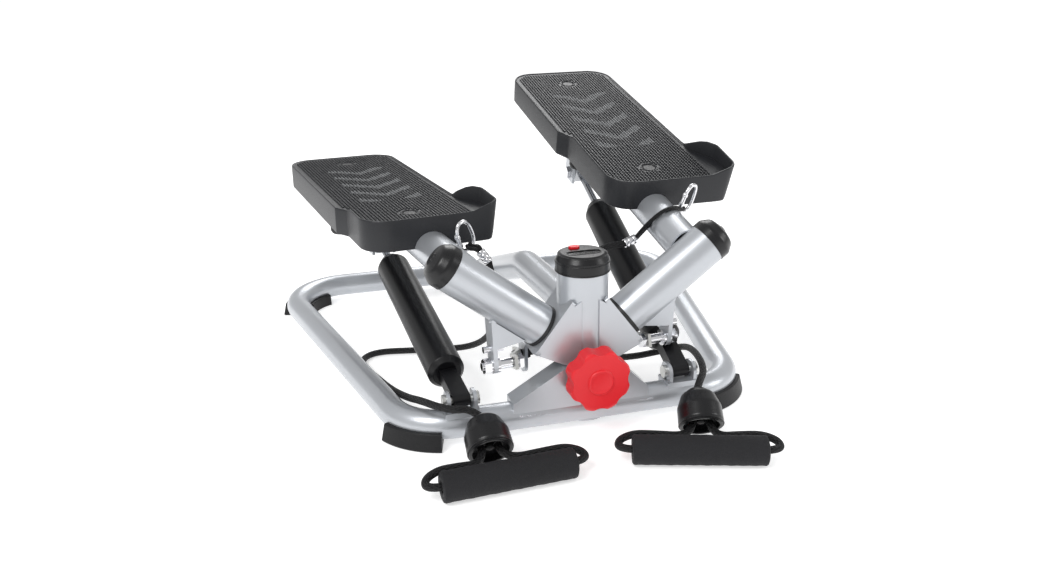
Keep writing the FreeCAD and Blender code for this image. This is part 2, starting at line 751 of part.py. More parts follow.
def make_brackets(name, side):
    """Two saddles under the pedal and the ears that carry the damper's rod end."""
    frame = pedal_frame(side)
    shell = dim("pedal_shell")
    pieces = []
    for along in SADDLES:
        body = block((54, 26, 20), (-side * 2, along, -shell - 10), frame)
        bolt_space = rod(3.0, 12, in_pedal(side, (0, along, -shell - 12)))
        pieces.append(cut(body, arm_space(side), bolt_space))
    eye = frame.inverse().multVec(rod_end_point(side))
    for offset in (-11.5, 11.5):
        low, high = eye.z - 9, -ARM_DROP - 4
        ear = block((3, 24, high - low), (eye.x + offset, eye.y, (low + high) / 2), frame)
        pin_space = rod("{pin_radius}", 60, in_pedal(side, (eye.x - 30, eye.y, eye.z), V(1, 0, 0), UP))
        pieces.append(cut(ear, arm_space(side), pin_space))
    group(name + "_arm_brackets", pieces, arm=side)


FLANGE = 4.0
STUD_RADIUS = 3.0


def make_link_plate(name, side):
    """Triangular gusset under the sleeve and a flange that ends at the link bolt."""
    reach = dim("sleeve_od") / 2
    lever = lever_point(side)
    high_in = slope_point(side, 57, -reach + 1)
    high_out = slope_point(side, 92, -reach + 1)
    tip_z = lever.z + 16
    outline = [high_in, high_out, (lever.x + side * FLANGE / 2, tip_z), (lever.x - side * 5, tip_z)]
    plate = padded("Lever_gusset", rounded(flat(outline), 0), FLANGE)
    plate.Placement = upright(POST_Y - 4)
    top = 42
    flange_edges = rounded(flat([(-8, -7), (8, -7), (11, top), (-8, top)]), [6.5, 6.5, 0, 0])
    flange = padded("Lever_flange", flange_edges, FLANGE, [(0, 0, dim("lever_bolt_radius"))])
    flange.Placement = aim((lever.x - FLANGE / 2, POST_Y, lever.z), V(1, 0, 0), V(0, 1, 0))
    sleeve_space = rod("{sleeve_od} / 2", 300, spindle_frame(side, 0))
    stud_space = rod(STUD_RADIUS, 60, aim((lever.x - 30, POST_Y - 1, lever.z + 15), V(1, 0, 0), UP))
    finish(cut(fuse(plate, flange), sleeve_space, stud_space), name + "_link_lever", arm=side)


def make_pivot_bolts(name, side):
    lever = lever_point(side)
    strap_inner = STRAP_FAR_X
    shank_start = strap_inner - 5
    length = abs(lever.x) + 11 - shank_start
    shank = rod("{lever_bolt_radius}", length,
                aim((side * shank_start, POST_Y, lever.z), V(side, 0, 0), UP))
    nut = hexagon("Link_nut", 6.2, 6.0)
    nut.Placement = aim((lever.x + side * 3.3, POST_Y, lever.z), V(side, 0, 0), UP)
    washer = rod(7.0, 1.2, aim((lever.x + side * (FLANGE / 2 + 0.1), POST_Y, lever.z), V(side, 0, 0), UP))
    spacer_length = abs(lever.x) - FLANGE / 2 - 0.1 - (strap_inner + STRAP_THICKNESS + STRAP_PLAY)
    spacer_start = aim((lever.x - side * (FLANGE / 2 + 0.1), POST_Y, lever.z), V(-side, 0, 0), UP)
    spacer = fuse(rod(4.6, spacer_length, spacer_start), rod(7.5, 2.5, spacer_start))
    head = hexagon("Link_head", 6.2, 3.6)
    head.Placement = aim((side * (strap_inner - STRAP_PLAY), POST_Y, lever.z), V(-side, 0, 0), UP)
    stud = rod(STUD_RADIUS, 18, aim((lever.x - 9, POST_Y - 1, lever.z + 15), V(1, 0, 0), UP))
    eye = pedal_frame(side).inverse().multVec(rod_end_point(side))
    pin = rod("{pin_radius}", 34, in_pedal(side, (eye.x - 17, eye.y, eye.z), V(1, 0, 0), UP))
    ends = []
    for end in (-1, 1):
        cap = hexagon("Pin_end", 6.5, 4.0)
        cap.Placement = in_pedal(side, (eye.x + end * 13.1, eye.y, eye.z), V(end, 0, 0), UP)
        ends.append(cap)
    group(name + "_pivot_bolts", [fuse(shank, nut, washer, spacer, head), stud, fuse(pin, *ends)],
          arm=side)


PEDAL_CORNER = 26.0
JOG = 8.0
EAR = 16.0
EAR_LENGTH = 74.0
EAR_CREST = 52.0
EAR_SLOPE = 13.0
BUMPER_X = {"left": -45.0, "right": -37.0}


def pedal_outline(jog_y, inset=0.0):
    half = dim("pedal_width") / 2 - inset
    length = dim("pedal_length") - inset
    corner = PEDAL_CORNER - inset
    ear_tip = half + EAR
    points = [(-half + JOG, inset), (ear_tip, inset), (ear_tip, EAR_LENGTH - 28), (half, EAR_LENGTH),
              (half, length), (-half, length), (-half, jog_y + JOG), (-half + JOG, jog_y - JOG)]
    return rounded(flat(points), [corner, 12, 12, 12, corner, corner, 5, 5])


def make_pedal(name, side):
    jog_y = dim(name + "_jog")
    skirt, shell = dim("pedal_skirt"), dim("pedal_shell")
    frame = pedal_frame(side)
    skin = padded("Pedal_skin", pedal_outline(jog_y), "{pedal_skirt}")
    skin.Placement = in_pedal(side, (0, 0, -skirt))
    hollow = padded("Pedal_hollow", pedal_outline(jog_y, shell), "{pedal_skirt} - {pedal_shell}")
    hollow.Placement = in_pedal(side, (0, 0, -skirt - 0.001))
    rim = padded("Pedal_rim", pedal_outline(jog_y), "{ear_rise}")
    rim.Placement = frame
    rim_hollow = padded("Rim_hollow", pedal_outline(jog_y, shell), "{ear_rise} + 2")
    rim_hollow.Placement = frame
    lip_zone = block((150, jog_y, dim("lip_rise")), (0, jog_y / 2, dim("lip_rise") / 2), frame)
    behind = block((60, 200, 40), (90, EAR_LENGTH + 100, 0), frame)
    ear_zone = block((40, EAR_LENGTH - 4, dim("ear_rise")),
                     (72, EAR_LENGTH / 2 - 2, dim("ear_rise") / 2), frame)
    kept = doc.addObject("Part::Common", "Rim_kept")
    kept.Base = cut(rim, rim_hollow)
    kept.Tool = fuse(cut(lip_zone, behind), ear_zone)
    pedal = fuse(cut(skin, hollow), kept)
    crest = frame.multiply(Placement(V(0, EAR_CREST, dim("ear_rise")),
                                     Rotation(V(1, 0, 0), EAR_SLOPE)))
    tools = [arm_space(side, 0.5), block((80, 80, 30), (100, -40, 15), crest)]
    for along in SADDLES:
        tools.append(rod(3.3, 10, in_pedal(side, (0, along, -8))))
        tools.append(rod(7.0, 5, in_pedal(side, (0, along, -1.8))))
    finish(cut(pedal, *tools), name + "_pedal", arm=side)
    bolts = []
    for along in SADDLES:
        shank = rod(3.0, 9.2, in_pedal(side, (0, along, -11)))
        head = rod(5.8, 1.6, in_pedal(side, (0, along, -1.79)))
        bolts.append(fuse(shank, head))
    group(name + "_pedal_bolts", bolts, arm=side)
    profile = [(0, 0), (9, 0), (11, 3), (11, 14), (8, 16), (8, 34.4), (0, 34.4)]
    bumper = turned("Bumper", profile, 360, [0, 2, 2, 2, 1, 0, 0])
    finish(bumper, name + "_bumper", in_pedal(side, (BUMPER_X[name], 130, -shell - 34.5)), arm=side)


def make_arms():
    for name, side in SIDES:
        make_sleeve(name, side)
        make_arm_tube(name, side)
        make_brackets(name, side)
        make_link_plate(name, side)
        make_pivot_bolts(name, side)
        make_pedal(name, side)


# ---------------------------------------------------------------- dampers

def damper_foot(side):
    return V(side * dim("damper_foot_x") - dim("damper_offset"), -dim("base_half_depth") + 2,
             dim("damper_foot_z"))


def damper_frame(side, along=0.0):
    foot = damper_foot(side)
    reach = swing(side).multVec(rod_end_point(side)) - foot
    axis = V(reach).normalize()
    return aim(foot + axis * along, axis, V(1, 0, 0)), reach.Length


def make_damper_feet(base_loop):
    brackets = []
    pins = []
    bar_top = dim("base_centre_z") + dim("base_tube_od") / 2
    for _, side in SIDES:
        foot = damper_foot(side)
        base = block((30, 22, 7), (foot.x, foot.y, bar_top - 2.3))
        ears = []
        for offset in (-11.5, 11.5):
            outline = [(-10, -10), (10, -10), (10, 8), (-10, 8)]
            ear = padded("Damper_ear", rounded(flat(outline), [0, 0, 8, 8]), 3,
                         [(0, 0, dim("damper_pin_radius"))])
            ear.Placement = aim((foot.x + offset - 1.5, foot.y, foot.z), V(1, 0, 0), V(0, 1, 0))
            ears.append(ear)
        brackets.append(cut(fuse(base, *ears), base_loop))
        pin = rod("{damper_pin_radius}", 31, aim((foot.x - 15.5, foot.y, foot.z), V(1, 0, 0), UP))
        ends = []
        for end in (-1, 1):
            cap = rod(5.8, 3.0, aim((foot.x + end * 13.1, foot.y, foot.z), V(end, 0, 0), UP))
            ends.append(cap)
        pins.append(fuse(pin, *ends))
    group("damper_brackets", brackets)
    group("damper_pins", pins)


CLEVIS_WIDTH = 15.4
CLEVIS_PLAY = 1.7
ROD_END_WIDTH = 15.0


def make_damper(name, side):
    foot_frame, reach = damper_frame(side)
    start = dim("damper_start")
    length = dim("damper_length")
    outer = dim("damper_od") / 2
    rod_radius = dim("rod_radius")
    outline = [(-6, -6), (6, -6), (6, start + 1), (-6, start + 1)]
    clevis = padded("Clevis", rounded(flat(outline), [5.5, 5.5, 1, 1]), CLEVIS_WIDTH,
                    [(0, 0, dim("damper_pin_radius") + CLEVIS_PLAY)])
    y_axis = foot_frame.Rotation.multVec(V(0, 1, 0))
    across = foot_frame.Rotation.multVec(V(1, 0, 0))
    axis = foot_frame.Rotation.multVec(UP)
    upright_turn = Rotation(y_axis, axis, V(0, 0, 0), "XYZ")
    clevis_place = Placement(foot_frame.Base - across * (CLEVIS_WIDTH / 2), upright_turn)
    finish(clevis, name + "_damper_clevis", clevis_place)
    body_frame, _ = damper_frame(side, start + 1)
    profile = [(0, 0), (outer - 4, 0), (outer, 4), (outer, length - 13), (outer - 6, length), (0, length)]
    skin = turned("Cylinder_skin", profile, 360, [0, 1, 2, 5, 4, 0])
    skin.Placement = body_frame
    chamber_start, _ = damper_frame(side, start + 7)
    chamber = rod(outer - 2.5, length - 24, chamber_start)
    bore_start, _ = damper_frame(side, start + length - 40)
    bore = rod(rod_radius + 0.1, 60, bore_start)
    finish(cut(skin, chamber, bore), name + "_damper_cylinder")
    piston_at = start + length - 86
    piston_frame, _ = damper_frame(side, piston_at)
    piston = rod(outer - 2.7, 12, piston_frame)
    shaft = rod("{rod_radius}", reach - 8 - piston_at, piston_frame)
    shaft_solid = fuse(piston, shaft)
    end_outline = [(-8, -9), (8, -9), (8, 8), (-8, 8)]
    end = padded("Rod_end", rounded(flat(end_outline), [1, 1, 7, 7]), ROD_END_WIDTH,
                 [(0, 0, dim("pin_radius") + 1.2)])
    eye_frame, _ = damper_frame(side, reach)
    end.Placement = Placement(eye_frame.Base - across * (ROD_END_WIDTH / 2), upright_turn)
    shaft_space = rod("{rod_radius}", reach - 8 - piston_at, piston_frame)
    group(name + "_damper_rod", [shaft_solid, cut(end, shaft_space)])


# ---------------------------------------------------------------- cords and handles

BELL_AT = {"left": ((-93.6, -229.2, 34), (-93.6, -258.8, 17.3)),
           "right": ((95.8, -241, 37.1), (89, -266.2, 15.3))}
GRIP_AT = {"left": ((-86.4, -289.4), 3.1), "right": ((72.2, -298.0), -18.2)}
FERRULE_AT = {"left": ((-74, -130, 142), (0.55, -0.25, -0.8)),
              "right": ((69, -124, 141), (-1, -0.15, -0.3))}
CARABINER_AT = {"left": (-89, -120, 160), "right": (125.3, -128, 178.5)}
FERRULE_LENGTH = 13.0
CORD_GAP = 1.7

# Routes from the ferrule to the bell: a hanging part, a part on the floor, then a hump
# over the front bar.
CORD_ROUTES = {
    "left": [(-65, -132, 108), (-60, -112, 76), (-58, -78, 44), (-66, -40, 18), (-90, -10, 5),
             (-127, 2, 3.6), (-161, 9, 3.6), (-179, -4, 3.8), (-180, -30, 4.5), (-173, -60, 8),
             (-164, -108, 14), (-155, -156, 26), (-147, -188, 36.5), (-136, -212, 40),
             (-124, -222, 40.5), (-112, -221, 39.5)],
    "right": [(48, -123, 139), (32, -123, 131), (25, -122, 108), (24, -121, 82), (26, -120, 56),
              (36, -117, 33), (56, -112, 18), (82, -108, 14), (108, -112, 18), (123, -130, 29),
              (119, -161, 40), (111, -197, 44), (103, -220, 43), (92, -234, 41.5)],
}


def bell_frame(name, along=0.0):
    top, mouth = (V(*p) + V(BASE_X, 0, 0) for p in BELL_AT[name])
    axis = (mouth - top).normalize()
    return aim(top + axis * along, axis, UP)


def ferrule_frame(name, along=0.0):
    centre, direction = FERRULE_AT[name]
    axis = V(*direction).normalize()
    return aim(V(*centre) + axis * along, axis, UP)


def make_cord(name):
    start = ferrule_frame(name, FERRULE_LENGTH / 2 + CORD_GAP).Base
    exit_point = bell_frame(name, 0.0).Base
    points = [tuple(start)] + CORD_ROUTES[name] + [tuple(exit_point)]
    shape = cord_shape(points, dim("cord_diameter") / 2, print_as=name + " cord")
    finish(shaped("Cord", shape), name + "_cord")


def make_cord_hook(name, side):
    """Snap link that hangs from the front of the pedal, and the ferrule on the cord's end."""
    radius = dim("cord_diameter") / 2
    profile = [(0, 0), (radius + 1.2, 0), (radius + 1.2, FERRULE_LENGTH), (0, FERRULE_LENGTH)]
    ferrule = turned("Ferrule", profile, 360, [0, 1, 1, 0])
    ferrule.Placement = ferrule_frame(name, -FERRULE_LENGTH / 2)
    points = [(-8.5, 0, -13), (8.5, 0, -13), (8.5, 0, 13), (-8.5, 0, 13)]
    wire = path_wire(points, 8.0, closed=True)
    first = wire.Edges[0]
    start = first.valueAt(first.FirstParameter)
    section = Part.Wire([Part.Circle(start, first.tangentAt(first.FirstParameter), 1.9).toShape()])
    link = shaped("Carabiner", wire.makePipeShell([section], True, False))
    link.Placement = aim(V(*CARABINER_AT[name]), V(0.3 * side, -0.2, 1), V(1, 0.6, 0))
    group(name + "_cord_hook", [link, ferrule])


def handle_frame(name, origin=(0, 0, 0), z_axis=UP, x_axis=V(1, 0, 0)):
    """Frame of a handle on the floor: X along the grip, Y to the rear."""
    (x, y), turn = GRIP_AT[name]
    base = Placement(V(BASE_X + x, y, dim("grip_radius")), Rotation(UP, turn))
    return base.multiply(aim(origin, z_axis, x_axis))


def make_handle(name, side):
    shell = [(3.4, 0), (7, 0), (14.5, 5.5), (19, 17), (19.5, 30), (18, 34), (15.5, 34), (15.5, 27),
             (3.4, 27)]
    bell = turned("Bell", shell, 360, [1, 2, 6, 8, 3, 1, 0.5, 0, 0])
    bell.Placement = bell_frame(name)
    half = dim("grip_length") / 2
    radius, bore = dim("grip_radius"), dim("grip_bore")
    foam = turned("Foam_grip", [(bore, -half), (radius, -half), (radius, half), (bore, half)], 360,
                  [0.5, 2, 2, 0.5])
    finish(foam, name + "_grip", handle_frame(name, (0, 0, 0), V(1, 0, 0), UP))
    mouth = handle_frame(name).inverse().multVec(bell_frame(name, 28).Base)
    ahead = handle_frame(name).inverse().multVec(bell_frame(name, 43).Base)
    rise = 6.0
    route = []
    for end in (-1, 1):
        part = [(mouth.x + end * 7, mouth.y, mouth.z), (ahead.x + end * 8, ahead.y, ahead.z),
                (end * 40, 16, rise), (end * (half - 1), 15.5, rise), (end * (half + 11), 10, 3),
                (end * (half + 11), 1, 0), (end * (half - 6), 0, 0)]
        route.append(part if end < 0 else part[::-1])
    points = route[0] + route[1]
    shape = cord_shape(points, dim("cord_diameter") / 2, print_as=name + " handle cord")
    loop = shaped("Handle_cord", shape)
    loop.Placement = handle_frame(name)
    return bell, loop


# ---------------------------------------------------------------- assembly

base_loop = make_base()
spine = make_spine()
make_post()
make_spindle_plates()
make_upper_gussets(spine)
make_lower_gussets()
make_spindles()
make_feet("front_feet", dim("front_corner_radius"), dim("base_front_half"), -1)
make_feet("rear_feet", dim("rear_corner_radius"), dim("base_rear_half"), 1)
make_console()
make_knob()
make_rocker(spine)
make_straps()
make_arms()
make_damper_feet(base_loop)
for name, side in SIDES:
    make_damper(name, side)
    make_cord(name)
    make_cord_hook(name, side)
handles = [make_handle(name, side) for name, side in SIDES]
group("handle_caps", [bell for bell, _ in handles])
group("handle_cords", [loop for _, loop in handles])
doc.recompute()

failed = [thing.Label for thing in doc.Objects
          if "Invalid" in thing.State or "Error" in thing.State]
for node in NODES:
    if node.Shape.isNull() or not node.Shape.isValid() or not node.Shape.Solids:
        failed.append(node.Label)
if failed:
    raise RuntimeError("failed: " + ", ".join(failed))

os.makedirs("parts", exist_ok=True)
whole = FreeCAD.BoundBox()
for node in NODES:
    node.Shape.exportStep("parts/%s.step" % node.Label)
    whole.add(node.Shape.BoundBox)
print(len(NODES), "nodes", whole)
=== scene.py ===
import bpy
import bmesh
import json
import math
import random
from mathutils import Matrix, Vector


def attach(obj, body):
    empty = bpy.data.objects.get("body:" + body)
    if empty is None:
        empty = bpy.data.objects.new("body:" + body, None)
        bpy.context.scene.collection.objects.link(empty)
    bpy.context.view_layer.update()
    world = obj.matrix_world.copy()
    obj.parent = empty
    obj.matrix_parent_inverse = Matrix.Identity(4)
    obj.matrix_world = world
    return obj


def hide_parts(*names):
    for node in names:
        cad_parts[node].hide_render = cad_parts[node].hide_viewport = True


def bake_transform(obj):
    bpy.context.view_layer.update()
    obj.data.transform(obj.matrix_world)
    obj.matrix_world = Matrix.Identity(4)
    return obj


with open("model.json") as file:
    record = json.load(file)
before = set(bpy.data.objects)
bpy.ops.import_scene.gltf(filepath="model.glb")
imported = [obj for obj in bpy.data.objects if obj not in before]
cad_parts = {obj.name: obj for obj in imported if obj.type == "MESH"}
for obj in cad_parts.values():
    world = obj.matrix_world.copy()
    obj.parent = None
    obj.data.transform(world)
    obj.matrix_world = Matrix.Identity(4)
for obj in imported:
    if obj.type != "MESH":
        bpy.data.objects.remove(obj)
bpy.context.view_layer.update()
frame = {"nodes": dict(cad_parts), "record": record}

# Twist stepper. Metres; X to the right, Y to the rear, Z up, floor at Z = 0.

MM = 0.001
SIDES = (("left", -1), ("right", 1))
random.seed(4)


def mm(x, y, z):
    return Vector((x * MM, y * MM, z * MM))


# ---------------------------------------------------------------- camera

EYE = mm(-245.1, -867.0, 395.3)
PAN = -14.93
LOOK_DOWN = 18.37
ROLL = -1.18
LENS_MM = 32.33
SHIFT_X = 0.0066
SHIFT_Y = -0.0120

camera = bpy.data.objects.new("Camera", bpy.data.cameras.new("Camera"))
bpy.context.scene.collection.objects.link(camera)
view_turn = (Matrix.Rotation(math.radians(PAN), 4, "Z")
             @ Matrix.Rotation(math.radians(90 - LOOK_DOWN), 4, "X")
             @ Matrix.Rotation(math.radians(ROLL), 4, "Z"))
camera.matrix_world = Matrix.Translation(EYE) @ view_turn
camera.data.lens = LENS_MM
camera.data.sensor_width = 36.0
camera.data.shift_x = SHIFT_X
camera.data.shift_y = SHIFT_Y
bpy.context.scene.camera = camera


# ---------------------------------------------------------------- materials

def node_in(tree, kind, **settings):
    node = tree.nodes.new(kind)
    for name, value in settings.items():
        if hasattr(node, name):
            setattr(node, name, value)
        else:
            node.inputs[name].default_value = value
    return node


def surface(name, color, rough=0.4, metal=0.0, spread=0.08, grain=60.0, bump=0.03, depth=0.0004,
            coat=0.0, tint=0.06, spots=None, specular=0.5):
    """Painted, moulded or metal finish: mottled colour and roughness with a fine grain."""
    material = bpy.data.materials.new(name)
    material.use_nodes = True
    tree = material.node_tree
    links = tree.links
    shader = tree.nodes["Principled BSDF"]
    shader.inputs["Metallic"].default_value = metal
    shader.inputs["Coat Weight"].default_value = coat
    shader.inputs["Coat Roughness"].default_value = 0.12
    shader.inputs["Specular IOR Level"].default_value = specular
    place = node_in(tree, "ShaderNodeTexCoord")
    broad = node_in(tree, "ShaderNodeTexNoise", Scale=9.0, Detail=5.0, Roughness=0.55)
    links.new(place.outputs["Object"], broad.inputs["Vector"])
    fine = node_in(tree, "ShaderNodeTexNoise", Scale=grain * 10, Detail=3.0)
    links.new(place.outputs["Object"], fine.inputs["Vector"])
    ramp = node_in(tree, "ShaderNodeValToRGB")
    ramp.color_ramp.elements[0].position = 0.3
    ramp.color_ramp.elements[1].position = 0.7
    low = [max(0.0, c * (1 - tint)) for c in color]
    high = [min(1.0, c * (1 + tint)) for c in color]
    ramp.color_ramp.elements[0].color = (*low, 1)
    ramp.color_ramp.elements[1].color = (*high, 1)
    links.new(broad.outputs["Fac"], ramp.inputs["Fac"])
    links.new(ramp.outputs["Color"], shader.inputs["Base Color"])
    rough_range = node_in(tree, "ShaderNodeMapRange")
    rough_range.inputs["To Min"].default_value = max(0.02, rough - spread)
    rough_range.inputs["To Max"].default_value = min(1.0, rough + spread)
    links.new(fine.outputs["Fac"], rough_range.inputs["Value"])
    links.new(rough_range.outputs["Result"], shader.inputs["Roughness"])
    relief = node_in(tree, "ShaderNodeBump", Strength=bump * 10, Distance=depth)
    links.new(fine.outputs["Fac"], relief.inputs["Height"])
    links.new(relief.outputs["Normal"], shader.inputs["Normal"])
    return material


def cord_material():
    """Black braid: crossing bands in the tube's own UV, with a worn sheen."""
    material = surface("Cord_cover", (0.008, 0.008, 0.009), rough=0.55, bump=0.02, specular=0.35)
    tree = material.node_tree
    links = tree.links
    shader = tree.nodes["Principled BSDF"]
    uv = node_in(tree, "ShaderNodeUVMap", uv_map="Along")
    split = node_in(tree, "ShaderNodeSeparateXYZ")
    links.new(uv.outputs["UV"], split.inputs["Vector"])
    waves = []
    for direction in (1.0, -1.0):
        turn = node_in(tree, "ShaderNodeMath", operation="MULTIPLY")
        turn.inputs[1].default_value = 8.0 * direction
        links.new(split.outputs["X"], turn.inputs[0])
        advance = node_in(tree, "ShaderNodeMath", operation="ADD")
        links.new(turn.outputs[0], advance.inputs[0])
        links.new(split.outputs["Y"], advance.inputs[1])
        angle = node_in(tree, "ShaderNodeMath", operation="MULTIPLY")
        angle.inputs[1].default_value = 2 * math.pi
        links.new(advance.outputs[0], angle.inputs[0])
        sine = node_in(tree, "ShaderNodeMath", operation="SINE")
        links.new(angle.outputs[0], sine.inputs[0])
        waves.append(sine)
    weave = node_in(tree, "ShaderNodeMath", operation="MAXIMUM")
    links.new(waves[0].outputs[0], weave.inputs[0])
    links.new(waves[1].outputs[0], weave.inputs[1])
    relief = node_in(tree, "ShaderNodeBump", Strength=0.9, Distance=0.0005)
    links.new(weave.outputs[0], relief.inputs["Height"])
    links.new(relief.outputs["Normal"], shader.inputs["Normal"])
    return material


SILVER = surface("Silver_paint", (0.50, 0.52, 0.55), rough=0.34, metal=0.62, coat=0.3, grain=160,
                 bump=0.012, spread=0.06, tint=0.05)
BLACK_PAINT = surface("Black_enamel", (0.003, 0.003, 0.004), rough=0.36, coat=0.0, grain=50,
                      bump=0.01, tint=0.2, specular=0.35)
BLACK_STEEL = surface("Black_oxide", (0.014, 0.014, 0.015), rough=0.42, metal=0.4, bump=0.03, tint=0.2)
CHROME = surface("Chrome", (0.78, 0.78, 0.80), rough=0.12, metal=1.0, bump=0.004, spread=0.05)
ROD_STEEL = surface("Ground_rod", (0.45, 0.46, 0.48), rough=0.2, metal=1.0, bump=0.01)
ZINC = surface("Zinc_plate", (0.62, 0.62, 0.60), rough=0.3, metal=0.95, bump=0.03, tint=0.1)
RUBBER = surface("Rubber", (0.006, 0.006, 0.007), rough=0.5, specular=0.35, grain=90, bump=0.06, tint=0.15)
GLOSS = surface("Gloss_plastic", (0.005, 0.005, 0.006), rough=0.3, grain=70, bump=0.01, tint=0.15,
                specular=0.4)
TREAD = surface("Pedal_plastic", (0.016, 0.017, 0.020), rough=0.42, grain=110, bump=0.03, tint=0.08,
                specular=0.4)
TREAD_LIGHT = surface("Pedal_print", (0.15, 0.155, 0.16), rough=0.5, grain=110, bump=0.03)
BUSH = surface("Bush_plastic", (0.014, 0.014, 0.015), rough=0.45, bump=0.03)
RED = surface("Red_plastic", (0.74, 0.008, 0.016), rough=0.4, grain=80, bump=0.02, tint=0.04)
LENS = surface("Lens", (0.004, 0.005, 0.005), rough=0.08, bump=0.002, coat=1.0, spread=0.03)
LCD = surface("Display", (0.16, 0.19, 0.16), rough=0.3, bump=0.01)
BOARD = surface("Circuit", (0.02, 0.13, 0.06), rough=0.4, bump=0.08)
FOAM = surface("Foam", (0.014, 0.014, 0.016), rough=0.7, grain=130, bump=0.12, depth=0.0006,
               tint=0.2, specular=0.3)
CORD = cord_material()

SLOT_LOOKS = {"silver_paint": SILVER, "black_paint": BLACK_PAINT, "chrome_steel": CHROME,
              "rod_steel": ROD_STEEL, "zinc_steel": ZINC, "black_steel": BLACK_STEEL,
              "foot_rubber": RUBBER, "black_plastic": GLOSS, "pedal_plastic": TREAD,
              "bush_plastic": BUSH, "red_plastic": RED, "lens": LENS, "lcd": LCD,
              "circuit": BOARD, "foam": FOAM, "cord_cover": CORD}
for part in frame["record"]["subparts"]:
    cad = frame["nodes"][part["node"]]
    for holder in cad.material_slots:
        holder.material = SLOT_LOOKS[part["material_slot"]]


# ---------------------------------------------------------------- mesh helpers

def piece(name, verts, faces, material, body, replaced=(), smooth=True, angle=35.0):
    mesh = bpy.data.meshes.new(name)
    mesh.from_pydata([tuple(v) for v in verts], [], faces)
    mesh.validate()
    mesh.update()
    mesh.materials.append(material)
    shown = bpy.data.objects.new(name, mesh)
    bpy.context.scene.collection.objects.link(shown)
    if smooth:
        mesh.shade_smooth()
        mesh.set_sharp_from_angle(angle=math.radians(angle))
    if body:
        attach(shown, body)
    if replaced:
        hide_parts(*replaced)
    return shown


def tube_mesh(centres, radius_at, sides=20, closed=False):
    """Vertices, faces and (turn, length) UVs of a tube that follows a list of points."""
    count = len(centres)
    tangents = []
    for i in range(count):
        ahead = centres[(i + 1) % count] if closed or i < count - 1 else centres[i]
        behind = centres[i - 1] if closed or i > 0 else centres[i]
        tangents.append((ahead - behind).normalized())
    normal = tangents[0].orthogonal()
    normal = (normal - tangents[0] * normal.dot(tangents[0])).normalized()
    verts = []
    lengths = []
    run = 0.0
    for i in range(count):
        if i:
            run += (centres[i] - centres[i - 1]).length
            normal = (normal - tangents[i] * normal.dot(tangents[i])).normalized()
        lengths.append(run)
        side = tangents[i].cross(normal)
        for k in range(sides):
            angle = 2 * math.pi * k / sides
            out = normal * math.cos(angle) + side * math.sin(angle)
            verts.append(centres[i] + out * radius_at(i / max(1, count - 1)))
    faces = []
    uvs = []
    last = count if closed else count - 1
    for i in range(last):
        j = (i + 1) % count
        for k in range(sides):
            n = (k + 1) % sides
            faces.append((i * sides + k, i * sides + n, j * sides + n, j * sides + k))
            low, high = lengths[i], lengths[j] if j else run
            uvs.append(((k / sides, low), ((k + 1) / sides, low),
                        ((k + 1) / sides, high), (k / sides, high)))
    if not closed:
        faces.append(tuple(reversed(range(sides))))
        faces.append(tuple(range((count - 1) * sides, count * sides)))
        uvs.append(tuple((0.0, 0.0) for _ in range(sides)))
        uvs.append(tuple((0.0, 0.0) for _ in range(sides)))
    return verts, faces, uvs


def lay_uvs(shown, uvs, repeat):
    layer = shown.data.uv_layers.new(name="Along")
    corner = 0
    for face, values in zip(shown.data.polygons, uvs):
        for value in values:
            layer.data[corner].uv = (value[0], value[1] * repeat)
            corner += 1


def spline_points(name, points, resolution=14):
    """Points along a smooth curve that the control points pull into shape."""
    curve = bpy.data.curves.new(name, "CURVE")
    curve.dimensions = "3D"
    spline = curve.splines.new("NURBS")
    spline.points.add(len(points) - 1)
    for slot, point in zip(spline.points, points):
        slot.co = (*point, 1.0)
    spline.order_u = 3
    spline.use_endpoint_u = True
    spline.resolution_u = resolution
    line = bpy.data.objects.new(name, curve)
    mesh = bpy.data.meshes.new_from_object(line)
    found = [v.co.copy() for v in mesh.vertices]
    bpy.data.meshes.remove(mesh)
    bpy.data.objects.remove(line)
    bpy.data.curves.remove(curve)
    return found


# ---------------------------------------------------------------- cords

CORD_RADIUS = 3.25 * MM
BRAID_PER_METRE = 160.0
ORIGIN = Vector((9.4, 52.0, 0.0))


def spread(points):
    """Points measured from the post's foot, in millimetres, as frame points in metres."""
    return [(Vector(p) + ORIGIN) * MM for p in points]


LEFT_CORD = spread([
    (-70.5, -131.6, 136.8),
    (-65, -132, 108), (-60, -112, 76), (-58, -78, 44), (-66, -40, 18), (-90, -10, 5),
    (-127, 2, 3.6), (-161, 9, 3.6), (-179, -4, 3.8), (-180, -30, 4.5), (-173, -60, 8),
    (-164, -108, 14), (-155, -156, 26), (-147, -188, 36.5), (-136, -212, 40), (-124, -222, 40.5),
    (-112, -221, 39.5), (-103, -229.2, 34)])
RIGHT_CORD = spread([
    (62.8, -124.9, 139.1),
    (48, -123, 139), (32, -123, 131), (25, -122, 108), (24, -121, 82), (26, -120, 56),
    (36, -117, 33), (56, -112, 18), (82, -108, 14), (108, -112, 18), (123, -130, 29),
    (119, -161, 40), (111, -197, 44), (103, -220, 43), (92, -234, 41.5), (86.4, -241, 37.1)])


def make_cord(side, control):
    line = spline_points(side + "_line", control)
    verts, faces, uvs = tube_mesh(line, lambda t: CORD_RADIUS)
    shown = piece(side + "_cord_look", verts, faces, CORD, None, [side + "_cord"])
    lay_uvs(shown, uvs, BRAID_PER_METRE)
    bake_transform(shown)


make_cord("left", LEFT_CORD)
make_cord("right", RIGHT_CORD)


def handle_place(x, y, turn):
    """Frame of a handle on the floor: X along the grip, Y to the rear; millimetres."""
    return (Matrix.Translation(Vector((x, y, 12.5)) + ORIGIN)
            @ Matrix.Rotation(math.radians(turn), 4, "Z"))


